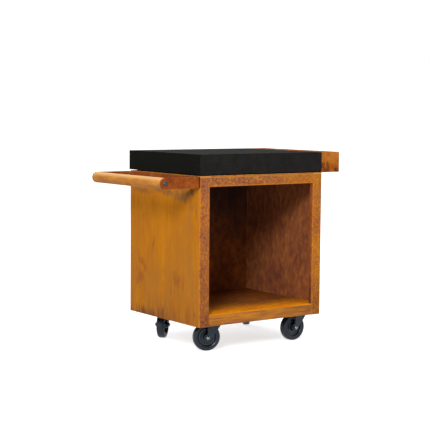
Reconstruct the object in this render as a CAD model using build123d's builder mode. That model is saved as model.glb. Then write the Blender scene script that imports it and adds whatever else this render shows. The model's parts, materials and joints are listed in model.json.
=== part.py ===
from build123d import *
import os

# Outdoor prep table, in millimetres. +X runs from the push bar to the herb box, +Y to the rear, +Z up.
# The origin is on the floor, under the middle of the whole length and depth.

# Cabinet of bent weathering steel sheet
body_width = 700.0
body_depth = 580.0
body_height = 673.0
sheet = 3.0
bend_radius = 5.0  # outside of a bend
stile_width = 54.0
stile_return = 20.0
rear_return = 25.0
header_height = 50.0
header_return = 20.0
header_flange = 30.0
rail_height = 53.0
rail_return = 15.0
pan_rear_flange = 40.0
pan_clearance = 0.5
rivet_count = 5  # on each side of the rear panel
rivet_margin = 70.0  # from the deck and the roof to the nearest rivet
rivet_diameter = 5.0
rivet_head_diameter = 10.0
rivet_head_height = 2.0
rivet_tail_diameter = 7.0
rivet_tail_length = 3.0

# Worktop of mitred stone panels on a wooden core
shadow_gap = 5.0
worktop_thickness = 90.0
worktop_overhang = 3.0  # at the front, the rear and the push bar's end
stone = 12.0
core_board_thickness = 18.0
core_rib = 60.0
core_cells = 3
spacer_inset = 24.0
spacer_width = 40.0
spacer_break = 2.0  # open joint between two strips
worktop_screw_pitch = 250.0
worktop_screw_bite = 35.0

# Push handle: a wooden bar in a bracket of bent flat bar
flat_bar_width = 50.0
flat_bar_thickness = 6.0
flat_bar_bend = 10.0  # outside of a bend
bracket_drop = 3.0  # below the roof
grip_reach = 183.0  # from the cabinet's side to the bar's axis
grip_diameter = 50.0
grip_chamfer = 1.0
insert_diameter = 12.0
insert_length = 25.0
bracket_bolt_count = 4
bracket_bolt_margin = 22.0  # from the bracket's outer face

# Herb box beside the worktop, on a tongue in the shadow gap
box_width = 111.0
box_setback = 5.0  # of its inner wall from the cabinet's side
box_tongue_reach = 140.0
box_tongue_width = 360.0
tongue_screw_pitch_x = 70.0
tongue_screw_pitch_y = 240.0
drain_count = 4
drain_pitch = 130.0
drain_diameter = 10.0

# Fasteners
bolt_diameter = 8.0
dome_diameter = 21.0
dome_height = 7.0
dome_rim = 1.5
bolt_flats = 13.0
bolt_head_height = 5.3
nut_height = 6.5
screw_diameter = 6.0
screw_flats = 10.0
screw_head_height = 4.0
hole_clearance = 0.2  # on the diameter of a bolt hole
thread_end = 1.5  # of a bolt past its nut

# Casters
wheel_diameter = 125.0
wheel_width = 38.0
tread_shoulder = 11.0
tyre_depth = 16.5
rim_width = 34.0
rim_depth = 6.0
rim_bevel = 3.0
web_thickness = 10.0
hub_diameter = 34.0
hub_play = 1.5  # between the hub and each fork leg
wheel_side_gap = 3.5  # between the tyre and each fork leg
caster_trail = 44.0
crown_gap = 11.0  # between the tyre and the crown
crown_diameter = 72.0
crown_thickness = 4.0
leg_thickness = 3.5
leg_top_width = 64.0
leg_boss_diameter = 32.0
race_height = 6.5
race_diameter = 68.0
race_bore = 28.0
race_gap = 3.0
ball_circle = 52.0
ball_diameter = 6.0
ball_count = 14
ball_clearance = 0.1
plate_length = 105.0
plate_width = 85.0
plate_corner = 8.0
plate_thickness = 4.0
plate_pitch_x = 80.0
plate_pitch_y = 60.0
king_diameter = 14.0
king_flats = 22.0
king_nut_height = 8.0
king_gap = 0.3  # between the crown and the king bolt's nut
running_clearance = 0.05  # on a radius that turns
axle_diameter = 12.0
axle_flats = 18.0
axle_head_height = 7.5
axle_washer_diameter = 24.0
axle_washer_thickness = 2.5
sleeve_diameter = 16.0
caster_rail_width = 100.0
caster_rail_depth = 17.0
caster_inset_left = 147.0  # from the cabinet's side to the swivel axis
caster_inset_right = 59.0
caster_inset_y = 80.0  # from the front and the rear
# where each wheel trails, in degrees from +X
caster_headings = {"front_left": 161.0, "front_right": 179.0, "rear_left": -136.0, "rear_right": 54.0}

# Heights above the floor
caster_height = wheel_diameter + crown_gap + crown_thickness + 2 * race_height + race_gap + plate_thickness
z_base = caster_height - (rail_height - sheet - caster_rail_depth)
z_deck = z_base + rail_height
z_roof = z_base + body_height
z_roof_under = z_roof - sheet
z_header = z_roof - header_height
z_top_under = z_roof + shadow_gap
z_top = z_top_under + worktop_thickness
z_bracket = z_roof - bracket_drop - flat_bar_width / 2
z_axle = wheel_diameter / 2
z_crown = wheel_diameter + crown_gap
z_crown_top = z_crown + crown_thickness
z_ball = z_crown_top + race_height + race_gap / 2
z_plate = caster_height - plate_thickness

# Places along the length and the depth
x_left = (grip_reach + flat_bar_width / 2 - body_width + box_setback - box_width) / 2
x_right = x_left + body_width
x_box = x_right - box_setback
x_mid = (x_left + x_right) / 2
x_grip = x_left - grip_reach
y_front = -body_depth / 2
y_rear = body_depth / 2
top_length = body_width + worktop_overhang - box_setback
top_depth = body_depth + 2 * worktop_overhang
x_top = x_box - top_length / 2
core_length = top_length - 2 * stone
core_depth = top_depth - 2 * stone
core_frame_height = worktop_thickness - stone - core_board_thickness
strip_y = body_depth / 2 - spacer_inset - spacer_width / 2
leg_inner = wheel_width / 2 + wheel_side_gap
leg_outer = leg_inner + leg_thickness

rivet_x = body_width / 2 - (sheet + rear_return) / 2
rivet_span = z_roof - z_deck - 2 * rivet_margin
z_rivets = (z_deck + z_roof) / 2
bracket_bolt_span = body_depth - 2 * bracket_bolt_margin
bracket_bolt_pitch = bracket_bolt_span / (bracket_bolt_count - 1)
tongue_screw_x = x_box - box_tongue_reach / 2
caster_places = {
    "front_left": (x_left + caster_inset_left, y_front + caster_inset_y),
    "front_right": (x_right - caster_inset_right, y_front + caster_inset_y),
    "rear_left": (x_left + caster_inset_left, y_rear - caster_inset_y),
    "rear_right": (x_right - caster_inset_right, y_rear - caster_inset_y),
}

os.makedirs("parts", exist_ok=True)


def save(part, name):
    """Label a piece and write its STEP file."""
    part.label = name
    export_step(part, f"parts/{name}.step")


def dome_bolt(length):
    """Dome-head bolt on the Z axis, its head above the XY plane and its shank below."""
    with BuildPart() as bolt:
        with BuildSketch(Plane.XZ):
            with BuildLine():
                TangentArc((0, dome_height), (dome_diameter / 2, dome_rim), tangent=(1, 0))
                Polyline(
                    (dome_diameter / 2, dome_rim),
                    (dome_diameter / 2, 0),
                    (bolt_diameter / 2, 0),
                    (bolt_diameter / 2, -length),
                    (0, -length),
                    (0, dome_height),
                )
            make_face()
        revolve(axis=Axis.Z)
    return bolt.part


def hex_bolt(diameter, flats, head_height, length, washer_diameter=0.0, washer_thickness=0.0):
    """Hexagon bolt on the Z axis, its head and washer above the XY plane and its shank below."""
    with BuildPart() as bolt:
        with BuildSketch(Plane.XY.offset(washer_thickness)):
            RegularPolygon(flats / 2, 6, major_radius=False)
        extrude(amount=head_height)
        if washer_thickness:
            with BuildSketch():
                Circle(washer_diameter / 2)
            extrude(amount=washer_thickness)
        with BuildSketch():
            Circle(diameter / 2)
        extrude(amount=-length)
    return bolt.part


def hex_nut(diameter, flats, height, washer_diameter=0.0, washer_thickness=0.0):
    """Hexagon nut with its washer on the Z axis, standing on the XY plane."""
    with BuildPart() as nut:
        with BuildSketch(Plane.XY.offset(washer_thickness)):
            RegularPolygon(flats / 2, 6, major_radius=False)
        extrude(amount=height)
        if washer_thickness:
            with BuildSketch():
                Circle(washer_diameter / 2)
            extrude(amount=washer_thickness)
        Hole((diameter + hole_clearance) / 2)
    return nut.part


# Side panels, each bent with its front stile and its rear return. The stile's own return ends
# under the header, and above that the stile is cut straight to meet the header's end.
for side_name, side in (("left", -1), ("right", 1)):
    x_wall = x_mid + side * body_width / 2
    x_stile = x_wall - side * stile_width
    x_return = x_wall - side * rear_return
    stile_line = [(x_stile, y_front), (x_wall, y_front), (x_wall, y_rear), (x_return, y_rear)]
    opening_line = [(x_stile, y_front + stile_return)] + stile_line
    zones = ((opening_line, z_base, z_header), (stile_line, z_header, z_roof_under))
    with BuildPart() as side_panel:
        for bend_line, z_low, z_high in zones:
            with BuildSketch(Plane.XY.offset(z_low)):
                with BuildLine():
                    FilletPolyline(*bend_line, radius=bend_radius)
                    offset(amount=sheet, side=Side.LEFT if side > 0 else Side.RIGHT)
                make_face()
            extrude(amount=z_high - z_low)
        with BuildSketch(Plane.XZ.offset(-y_rear)):
            with Locations((x_mid + side * rivet_x, z_rivets)):
                with GridLocations(0, rivet_span / (rivet_count - 1), 1, rivet_count):
                    Circle((rivet_diameter + hole_clearance) / 2)
        extrude(amount=2 * sheet, both=True, mode=Mode.SUBTRACT)
        if side < 0:
            with BuildSketch(Plane.YZ.offset(x_wall)):
                with Locations((0, z_bracket)):
                    with GridLocations(bracket_bolt_pitch, 0, bracket_bolt_count, 1):
                        Circle((bolt_diameter + hole_clearance) / 2)
            extrude(amount=2 * sheet, both=True, mode=Mode.SUBTRACT)
    save(side_panel.part, f"{side_name}_side_panel")

# Rear panel, in front of the side panels' returns and clear of their bends
with BuildPart() as rear_panel:
    with BuildSketch(Plane.XZ.offset(sheet - y_rear)):
        with Locations((x_mid, z_base)):
            Rectangle(body_width - 2 * bend_radius, body_height - sheet, align=(Align.CENTER, Align.MIN))
        with Locations((x_mid, z_rivets)):
            with GridLocations(2 * rivet_x, rivet_span / (rivet_count - 1), 2, rivet_count):
                Circle((rivet_diameter + hole_clearance) / 2, mode=Mode.SUBTRACT)
    extrude(amount=sheet)
save(rear_panel.part, "rear_panel")

# Blind rivet with its head on the rear face and its tail inside
with BuildPart() as rivet:
    with BuildSketch():
        Circle(rivet_head_diameter / 2)
    extrude(amount=rivet_head_height)
    fillet(rivet.faces().sort_by(Axis.Z)[-1].edges(), rivet_head_height / 2)
    with BuildSketch():
        Circle(rivet_diameter / 2)
    extrude(amount=-2 * sheet)
    with BuildSketch(Plane.XY.offset(-2 * sheet)):
        Circle(rivet_tail_diameter / 2)
    extrude(amount=-rivet_tail_length)

with BuildPart() as rear_rivets:
    with Locations(Plane(origin=(x_mid, y_rear, z_rivets), x_dir=(-1, 0, 0), z_dir=(0, 1, 0))):
        with GridLocations(2 * rivet_x, rivet_span / (rivet_count - 1), 2, rivet_count):
            add(rivet.part)
save(rear_rivets.part, "rear_rivets")

# Front header, a channel between the stiles
with BuildPart() as front_header:
    with BuildSketch(Plane.YZ.offset(x_left + stile_width)):
        with BuildLine():
            FilletPolyline(
                (y_front + header_return, z_header),
                (y_front, z_header),
                (y_front, z_roof_under),
                (y_front + header_flange, z_roof_under),
                radius=bend_radius,
            )
            offset(amount=sheet, side=Side.RIGHT)
        make_face()
    extrude(amount=body_width - 2 * stile_width)
save(front_header.part, "front_header")

# Floor pan, bent down at the front as the rail between the stiles and at the rear as a flange
with BuildPart() as floor_pan:
    with BuildSketch(Plane.YZ.offset(x_left + stile_width)):
        with BuildLine():
            FilletPolyline(
                (y_front + rail_return, z_base),
                (y_front, z_base),
                (y_front, z_deck),
                (y_rear - 2 * sheet, z_deck),
                (y_rear - 2 * sheet, z_deck - pan_rear_flange),
                radius=bend_radius,
            )
            offset(amount=sheet, side=Side.RIGHT)
        make_face()
    extrude(amount=body_width - 2 * stile_width)
    wing_front = y_front + stile_return + pan_clearance
    wing_depth = y_rear - 2 * sheet - bend_radius - wing_front
    with BuildSketch(Plane.XY.offset(z_deck - sheet)):
        with Locations((x_mid, wing_front)):
            Rectangle(body_width - 2 * sheet, wing_depth, align=(Align.CENTER, Align.MIN))
    extrude(amount=sheet)
save(floor_pan.part, "floor_pan")

# Caster rails, channels under the deck from side to side
for rail_name, rail_y in (("front", y_front + caster_inset_y), ("rear", y_rear - caster_inset_y)):
    with BuildPart() as caster_rail:
        with BuildSketch(Plane.YZ.offset(x_left + sheet)):
            with BuildLine():
                FilletPolyline(
                    (rail_y - caster_rail_width / 2, z_deck - sheet),
                    (rail_y - caster_rail_width / 2, caster_height),
                    (rail_y + caster_rail_width / 2, caster_height),
                    (rail_y + caster_rail_width / 2, z_deck - sheet),
                    radius=bend_radius,
                )
                offset(amount=sheet, side=Side.LEFT)
            make_face()
        extrude(amount=body_width - 2 * sheet)
        with BuildSketch(Plane.XY.offset(caster_height)):
            with Locations((x_left + caster_inset_left, rail_y), (x_right - caster_inset_right, rail_y)):
                with GridLocations(plate_pitch_x, plate_pitch_y, 2, 2):
                    Circle((bolt_diameter + hole_clearance) / 2)
        extrude(amount=sheet, mode=Mode.SUBTRACT)
    save(caster_rail.part, f"{rail_name}_caster_rail")

# Roof plate over the panels, drilled for the worktop's and the herb box's screws
with BuildPart() as roof_plate:
    with BuildSketch(Plane.XY.offset(z_roof_under)):
        with Locations((x_mid, 0)):
            RectangleRounded(body_width, body_depth, bend_radius)
            with GridLocations(worktop_screw_pitch, 2 * strip_y, 3, 2):
                Circle((screw_diameter + hole_clearance) / 2, mode=Mode.SUBTRACT)
        with Locations((tongue_screw_x, 0)):
            with GridLocations(tongue_screw_pitch_x, tongue_screw_pitch_y, 2, 2):
                Circle((screw_diameter + hole_clearance) / 2, mode=Mode.SUBTRACT)
    extrude(amount=sheet)
save(roof_plate.part, "roof_plate")

# Spacer strips that hold the shadow gap open
strip_depth = 2 * strip_y - spacer_width - 2 * spacer_break
x_strip_left = x_left + spacer_inset + spacer_width / 2
x_strip_right = x_box - box_tongue_reach - spacer_inset - spacer_width / 2
with BuildPart() as spacer_strips:
    with BuildSketch(Plane.XY.offset(z_roof)):
        with Locations((x_mid, -strip_y), (x_mid, strip_y)):
            Rectangle(body_width - 2 * spacer_inset, spacer_width)
            with GridLocations(worktop_screw_pitch, 0, 3, 1):
                Circle((screw_diameter + hole_clearance) / 2, mode=Mode.SUBTRACT)
        with Locations((x_strip_left, 0), (x_strip_right, 0)):
            Rectangle(spacer_width, strip_depth)
    extrude(amount=shadow_gap)
save(spacer_strips.part, "spacer_strips")

# Worktop core: a ladder frame under a board
cell_length = (core_length - (core_cells + 1) * core_rib) / core_cells
with BuildPart() as core_frame:
    with BuildSketch(Plane.XY.offset(z_top_under)):
        with Locations((x_top, 0)):
            Rectangle(core_length, core_depth)
            with GridLocations(cell_length + core_rib, 0, core_cells, 1):
                Rectangle(cell_length, core_depth - 2 * core_rib, mode=Mode.SUBTRACT)
    extrude(amount=core_frame_height)
    with BuildSketch(Plane.XY.offset(z_top_under)):
        with Locations((x_mid, 0)):
            with GridLocations(worktop_screw_pitch, 2 * strip_y, 3, 2):
                Circle((screw_diameter + hole_clearance) / 2)
    extrude(amount=worktop_screw_bite, mode=Mode.SUBTRACT)
save(core_frame.part, "core_frame")

with BuildPart() as core_board:
    with BuildSketch(Plane.XY.offset(z_top_under + core_frame_height)):
        with Locations((x_top, 0)):
            Rectangle(core_length, core_depth)
    extrude(amount=core_board_thickness)
save(core_board.part, "core_board")

# Stone top panel, mitred all round
with BuildPart() as top_panel:
    with BuildSketch(Plane(origin=(x_top, 0, z_top), x_dir=(1, 0, 0), z_dir=(0, 0, -1))):
        Rectangle(top_length, top_depth)
    extrude(amount=stone, taper=45)
save(top_panel.part, "top_panel")

# Stone edge panels, mitred to the top and to each other
edge_sides = {
    "front": ((0, -1), top_length),
    "rear": ((0, 1), top_length),
    "left": ((-1, 0), top_depth),
    "right": ((1, 0), top_depth),
}
for edge_name, ((out_x, out_y), edge_length) in edge_sides.items():
    edge_plane = Plane(
        origin=(x_top + out_x * top_length / 2, out_y * top_depth / 2, z_top),
        x_dir=(-out_y, out_x, 0),
        z_dir=(-out_x, -out_y, 0),
    )
    with BuildPart() as edge_panel:
        with BuildSketch(edge_plane):
            Rectangle(edge_length, worktop_thickness + stone, align=(Align.CENTER, Align.MIN))
        extrude(amount=stone, taper=45)
        split(bisect_by=Plane.XY.offset(z_top_under), keep=Keep.TOP)
    save(edge_panel.part, f"{edge_name}_edge_panel")

# Screws from under the roof into the worktop's core
worktop_screw_length = sheet + shadow_gap + worktop_screw_bite
worktop_screw = hex_bolt(screw_diameter, screw_flats, screw_head_height, worktop_screw_length)
with BuildPart() as worktop_screws:
    with Locations(Location((x_mid, 0, z_roof_under), (180, 0, 0))):
        with GridLocations(worktop_screw_pitch, 2 * strip_y, 3, 2):
            add(worktop_screw)
save(worktop_screws.part, "worktop_screws")

# Handle bracket of bent flat bar, its arms flush with the cabinet's front and rear
with BuildPart() as handle_bracket:
    with BuildSketch(Plane.XY.offset(z_bracket - flat_bar_width / 2)):
        with BuildLine():
            FilletPolyline(
                (x_grip - flat_bar_width / 2, y_front),
                (x_left, y_front),
                (x_left, y_rear),
                (x_grip - flat_bar_width / 2, y_rear),
                radius=flat_bar_bend,
            )
            offset(amount=flat_bar_thickness, side=Side.LEFT)
        make_face()
    extrude(amount=flat_bar_width)
    with BuildSketch(Plane.XZ):
        with Locations((x_grip, z_bracket)):
            Rectangle(flat_bar_width, flat_bar_width, align=(Align.MAX, Align.CENTER))
            Circle(flat_bar_width / 2, mode=Mode.SUBTRACT)
            Circle((bolt_diameter + hole_clearance) / 2)
    extrude(amount=body_depth, both=True, mode=Mode.SUBTRACT)
    with BuildSketch(Plane.YZ.offset(x_left)):
        with Locations((0, z_bracket)):
            with GridLocations(bracket_bolt_pitch, 0, bracket_bolt_count, 1):
                Circle((bolt_diameter + hole_clearance) / 2)
    extrude(amount=2 * flat_bar_thickness, both=True, mode=Mode.SUBTRACT)
save(handle_bracket.part, "handle_bracket")

# Wooden bar between the arms, bored for its inserts
grip_half = body_depth / 2 - flat_bar_thickness
with BuildPart() as handle_bar:
    with BuildSketch(Plane.XZ):
        with Locations((x_grip, z_bracket)):
            Circle(grip_diameter / 2)
    extrude(amount=grip_half, both=True)
    chamfer(handle_bar.edges().filter_by(GeomType.CIRCLE), grip_chamfer)
    for end in (-1, 1):
        with BuildSketch(Plane.XZ.offset(-end * grip_half)):
            with Locations((x_grip, z_bracket)):
                Circle(insert_diameter / 2)
        extrude(amount=end * insert_length, mode=Mode.SUBTRACT)
save(handle_bar.part, "handle_bar")

with BuildPart() as handle_inserts:
    for end in (-1, 1):
        with BuildSketch(Plane.XZ.offset(-end * grip_half)):
            with Locations((x_grip, z_bracket)):
                Circle(insert_diameter / 2)
                Circle((bolt_diameter + hole_clearance) / 2, mode=Mode.SUBTRACT)
        extrude(amount=end * insert_length)
save(handle_inserts.part, "handle_inserts")

handle_end_bolt = dome_bolt(flat_bar_thickness + insert_length)
with BuildPart() as handle_end_bolts:
    with Locations(
        Location((x_grip, y_front, z_bracket), (90, 0, 0)),
        Location((x_grip, y_rear, z_bracket), (-90, 0, 0)),
    ):
        add(handle_end_bolt)
save(handle_end_bolts.part, "handle_end_bolts")

# Bolts of the bracket through the left side panel, with their nuts inside
bracket_bolt = dome_bolt(flat_bar_thickness + sheet + nut_height + thread_end)
bracket_bolt_face = Plane(
    origin=(x_left - flat_bar_thickness, 0, z_bracket), x_dir=(0, -1, 0), z_dir=(-1, 0, 0)
)
with BuildPart() as bracket_bolts:
    with Locations(bracket_bolt_face):
        with GridLocations(bracket_bolt_pitch, 0, bracket_bolt_count, 1):
            add(bracket_bolt)
save(bracket_bolts.part, "bracket_bolts")

bolt_nut = hex_nut(bolt_diameter, bolt_flats, nut_height)
with BuildPart() as bracket_nuts:
    with Locations(Plane(origin=(x_left + sheet, 0, z_bracket), x_dir=(0, 1, 0), z_dir=(1, 0, 0))):
        with GridLocations(bracket_bolt_pitch, 0, bracket_bolt_count, 1):
            add(bolt_nut)
save(bracket_nuts.part, "bracket_nuts")

# Herb box: a floor whose tongue lies on the roof, two walls and two ends
box_height = z_top - z_roof
box_inside_depth = body_depth - 2 * sheet
with BuildPart() as box_floor:
    with BuildSketch(Plane.XY.offset(z_roof)):
        with Locations((x_box, 0)):
            Rectangle(box_width - sheet, box_inside_depth, align=(Align.MIN, Align.CENTER))
            Rectangle(box_tongue_reach, box_tongue_width, align=(Align.MAX, Align.CENTER))
        with Locations((x_box + box_width / 2, 0)):
            with GridLocations(0, drain_pitch, 1, drain_count):
                Circle(drain_diameter / 2, mode=Mode.SUBTRACT)
        with Locations((tongue_screw_x, 0)):
            with GridLocations(tongue_screw_pitch_x, tongue_screw_pitch_y, 2, 2):
                Circle((screw_diameter + hole_clearance) / 2, mode=Mode.SUBTRACT)
    extrude(amount=sheet)
save(box_floor.part, "box_floor")

with BuildPart() as box_inner_wall:
    with BuildSketch(Plane.XY.offset(z_roof + sheet)):
        with Locations((x_box, 0)):
            Rectangle(sheet, box_inside_depth, align=(Align.MIN, Align.CENTER))
    extrude(amount=box_height - sheet)
save(box_inner_wall.part, "box_inner_wall")

with BuildPart() as box_outer_wall:
    with BuildSketch(Plane.XY.offset(z_roof)):
        with Locations((x_box + box_width, 0)):
            Rectangle(sheet, box_inside_depth, align=(Align.MAX, Align.CENTER))
    extrude(amount=box_height)
save(box_outer_wall.part, "box_outer_wall")

for end_name, end in (("front", -1), ("rear", 1)):
    with BuildPart() as box_end:
        with BuildSketch(Plane.XZ.offset(-end * body_depth / 2)):
            with Locations((x_box, z_roof)):
                Rectangle(box_width, box_height, align=(Align.MIN, Align.MIN))
        extrude(amount=end * sheet)
    save(box_end.part, f"box_{end_name}_end")

tongue_screw = hex_bolt(screw_diameter, screw_flats, screw_head_height, 2 * sheet)
with BuildPart() as tongue_screws:
    with Locations(Location((tongue_screw_x, 0, z_roof_under), (180, 0, 0))):
        with GridLocations(tongue_screw_pitch_x, tongue_screw_pitch_y, 2, 2):
            add(tongue_screw)
save(tongue_screws.part, "tongue_screws")

# Caster plate with its upper ball race, made once about the swivel axis
with BuildPart() as caster_plate:
    with BuildSketch(Plane.XY.offset(z_plate)):
        RectangleRounded(plate_length, plate_width, plate_corner)
        with GridLocations(plate_pitch_x, plate_pitch_y, 2, 2):
            Circle((bolt_diameter + hole_clearance) / 2, mode=Mode.SUBTRACT)
    extrude(amount=plate_thickness)
    with BuildSketch(Plane.XY.offset(z_plate)):
        Circle(race_diameter / 2)
    extrude(amount=-race_height)
    with BuildSketch(Plane.XY.offset(z_plate - race_height)):
        Circle((king_diameter + hole_clearance) / 2)
    extrude(amount=race_height + plate_thickness, mode=Mode.SUBTRACT)
    with Locations((0, 0, z_ball)):
        Torus(ball_circle / 2, ball_diameter / 2 + ball_clearance, mode=Mode.SUBTRACT)

# King bolt from the plate down through the crown, its nut under the crown
with BuildPart() as king_bolt:
    with BuildSketch(Plane.XY.offset(z_crown - king_gap)):
        Circle(king_diameter / 2)
    extrude(amount=caster_height - z_crown + king_gap)
    with BuildSketch(Plane.XY.offset(z_crown - king_gap)):
        RegularPolygon(king_flats / 2, 6, major_radius=False)
    extrude(amount=-king_nut_height)

# Bent fork: a round crown with the lower ball race, and two tapered legs. Each leg's front edge
# drops straight to the axle's boss.
with BuildPart() as caster_fork:
    with BuildSketch(Plane.XY.offset(z_crown)):
        Circle(crown_diameter / 2)
    extrude(amount=crown_thickness)
    for leg in (-1, 1):
        with BuildSketch(Plane.XZ.offset(-leg * leg_inner)) as leg_outline:
            with Locations((0, z_crown_top)):
                Rectangle(leg_top_width, crown_thickness, align=(Align.CENTER, Align.MAX))
            with Locations((caster_trail, z_axle)):
                Circle(leg_boss_diameter / 2)
            make_hull(leg_outline.edges())
            with Locations((caster_trail, z_axle)):
                front_cut = (leg_boss_diameter, z_crown - z_axle)
                Rectangle(*front_cut, align=(Align.MIN, Align.MIN), mode=Mode.SUBTRACT)
                Circle(leg_boss_diameter / 2)
                Circle((axle_diameter + hole_clearance) / 2, mode=Mode.SUBTRACT)
        extrude(amount=-leg * leg_thickness)
    with BuildSketch(Plane.XY.offset(z_crown_top)):
        Circle(race_diameter / 2)
        Circle(race_bore / 2, mode=Mode.SUBTRACT)
    extrude(amount=race_height)
    with BuildSketch(Plane.XY.offset(z_crown)):
        Circle(king_diameter / 2 + running_clearance)
    extrude(amount=crown_thickness, mode=Mode.SUBTRACT)
    with Locations((0, 0, z_ball)):
        Torus(ball_circle / 2, ball_diameter / 2 + ball_clearance, mode=Mode.SUBTRACT)

with BuildPart() as caster_balls:
    with Locations((0, 0, z_ball)):
        with PolarLocations(ball_circle / 2, ball_count):
            Sphere(ball_diameter / 2)

# Axle bolt through both legs, with its nut, and the sleeve that the wheel turns on
axle_bolt = hex_bolt(
    axle_diameter,
    axle_flats,
    axle_head_height,
    2 * leg_outer + axle_washer_thickness + axle_head_height + thread_end,
    axle_washer_diameter,
    axle_washer_thickness,
)
axle_nut = hex_nut(axle_diameter, axle_flats, axle_head_height, axle_washer_diameter, axle_washer_thickness)
with BuildPart() as caster_axle:
    with Locations(Location((caster_trail, -leg_outer, z_axle), (90, 0, 0))):
        add(axle_bolt)
    with Locations(Location((caster_trail, leg_outer, z_axle), (-90, 0, 0))):
        add(axle_nut)

with BuildPart() as axle_sleeve:
    with BuildSketch(Plane.XZ):
        with Locations((caster_trail, z_axle)):
            Circle(sleeve_diameter / 2)
            Circle((axle_diameter + hole_clearance) / 2, mode=Mode.SUBTRACT)
    extrude(amount=leg_inner, both=True)

# Wheel and tyre, turned about the axle. The sketch plane has the axle as its x and the radius as its y.
wheel_section = Plane(origin=(caster_trail, 0, z_axle), x_dir=(0, 1, 0), z_dir=(1, 0, 0))
wheel_axis = Axis((caster_trail, 0, z_axle), (0, 1, 0))
rim_radius = wheel_diameter / 2 - tyre_depth
hub_half = leg_inner - hub_play
with BuildPart() as caster_wheel:
    with BuildSketch(wheel_section) as wheel_outline:
        with Locations((0, sleeve_diameter / 2 + running_clearance)):
            hub_wall = (hub_diameter - sleeve_diameter) / 2 - running_clearance
            Rectangle(2 * hub_half, hub_wall, align=(Align.CENTER, Align.MIN))
        with Locations((0, hub_diameter / 2)):
            Rectangle(web_thickness, rim_radius - hub_diameter / 2, align=(Align.CENTER, Align.MIN))
        with BuildLine():
            Polyline(
                (-rim_width / 2, rim_radius),
                (rim_width / 2, rim_radius),
                (rim_width / 2 - rim_bevel, rim_radius - rim_depth),
                (rim_bevel - rim_width / 2, rim_radius - rim_depth),
                close=True,
            )
        make_face()
    revolve(axis=wheel_axis)

with BuildPart() as caster_tyre:
    with BuildSketch(wheel_section) as tyre_outline:
        with BuildLine():
            Polyline(
                (-rim_width / 2, rim_radius),
                (-wheel_width / 2, rim_radius + rim_bevel),
                (-wheel_width / 2, wheel_diameter / 2),
                (wheel_width / 2, wheel_diameter / 2),
                (wheel_width / 2, rim_radius + rim_bevel),
                (rim_width / 2, rim_radius),
                close=True,
            )
        make_face()
        fillet(tyre_outline.vertices().group_by(Axis.Y)[-1], tread_shoulder)
    revolve(axis=wheel_axis)

# Fixed caster pieces, one set at each place under the rails
plate_bolt_length = plate_thickness + sheet + nut_height + thread_end
plate_bolt = hex_bolt(bolt_diameter, bolt_flats, bolt_head_height, plate_bolt_length)
fixed_spots = [Location((x, y, 0)) for x, y in caster_places.values()]
with BuildPart() as caster_plates:
    with Locations(*fixed_spots):
        add(caster_plate.part)
save(caster_plates.part, "caster_plates")

with BuildPart() as king_bolts:
    with Locations(*fixed_spots):
        add(king_bolt.part)
save(king_bolts.part, "king_bolts")

with BuildPart() as plate_bolts:
    with Locations(*[Location((x, y, z_plate), (180, 0, 0)) for x, y in caster_places.values()]):
        with GridLocations(plate_pitch_x, plate_pitch_y, 2, 2):
            add(plate_bolt)
save(plate_bolts.part, "plate_bolts")

with BuildPart() as plate_nuts:
    with Locations(*[Location((x, y, caster_height + sheet)) for x, y in caster_places.values()]):
        with GridLocations(plate_pitch_x, plate_pitch_y, 2, 2):
            add(bolt_nut)
save(plate_nuts.part, "plate_nuts")

# Turning caster pieces, one set at each place, swung to where its wheel trails
turning_pieces = {
    "fork": caster_fork,
    "balls": caster_balls,
    "axle": caster_axle,
    "sleeve": axle_sleeve,
    "wheel": caster_wheel,
    "tyre": caster_tyre,
}
for caster_name, (x, y) in caster_places.items():
    swung = Location((x, y, 0), (0, 0, caster_headings[caster_name]))
    for piece_name, piece in turning_pieces.items():
        save(swung * piece.part, f"{caster_name}_{piece_name}")
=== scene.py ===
# %% [markdown]
# # An outdoor prep table in weathered steel
# The table is a rusted steel cabinet on four swivel casters, with a black stone worktop, a wooden push bar
# and a steel herb box. Its construction comes from a CAD model, so nothing here moves or resizes a piece.
# This lesson gives each piece its finish, adds the small details that CAD leaves out, and sets up a photo studio.

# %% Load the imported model
import json
import math

import bmesh
import bpy
from mathutils import Matrix, Vector


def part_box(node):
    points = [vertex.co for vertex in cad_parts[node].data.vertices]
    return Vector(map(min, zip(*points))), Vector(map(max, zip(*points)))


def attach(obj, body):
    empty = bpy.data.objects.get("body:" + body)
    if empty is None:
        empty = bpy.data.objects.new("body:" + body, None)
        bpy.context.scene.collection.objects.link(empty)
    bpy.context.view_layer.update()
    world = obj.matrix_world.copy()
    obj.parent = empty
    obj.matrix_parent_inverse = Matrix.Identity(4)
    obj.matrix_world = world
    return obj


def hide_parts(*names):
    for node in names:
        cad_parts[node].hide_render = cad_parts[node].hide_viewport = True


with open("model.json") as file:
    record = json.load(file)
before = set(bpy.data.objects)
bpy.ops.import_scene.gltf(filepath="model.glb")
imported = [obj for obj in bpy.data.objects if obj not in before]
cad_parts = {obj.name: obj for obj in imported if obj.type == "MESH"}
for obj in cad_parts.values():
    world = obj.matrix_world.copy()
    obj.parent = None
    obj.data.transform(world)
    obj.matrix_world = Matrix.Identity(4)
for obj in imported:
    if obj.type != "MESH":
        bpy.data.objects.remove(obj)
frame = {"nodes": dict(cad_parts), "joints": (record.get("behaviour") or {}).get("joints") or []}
nodes = frame["nodes"]
joints = {joint["name"]: joint for joint in frame["joints"]}
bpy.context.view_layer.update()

# %% [markdown]
# ## The places that the finishes follow
# Rust depends on where it is: rain runs down the outside, water hangs on the lowest edge, and the inside is darker,
# partly as painted shade.
# The finishes could be painted by hand on unwrapped faces, but they would be lost when a panel changes size.
# Reading the panels' boxes keeps the runs, bends and edges where the sheets have them.

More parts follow.
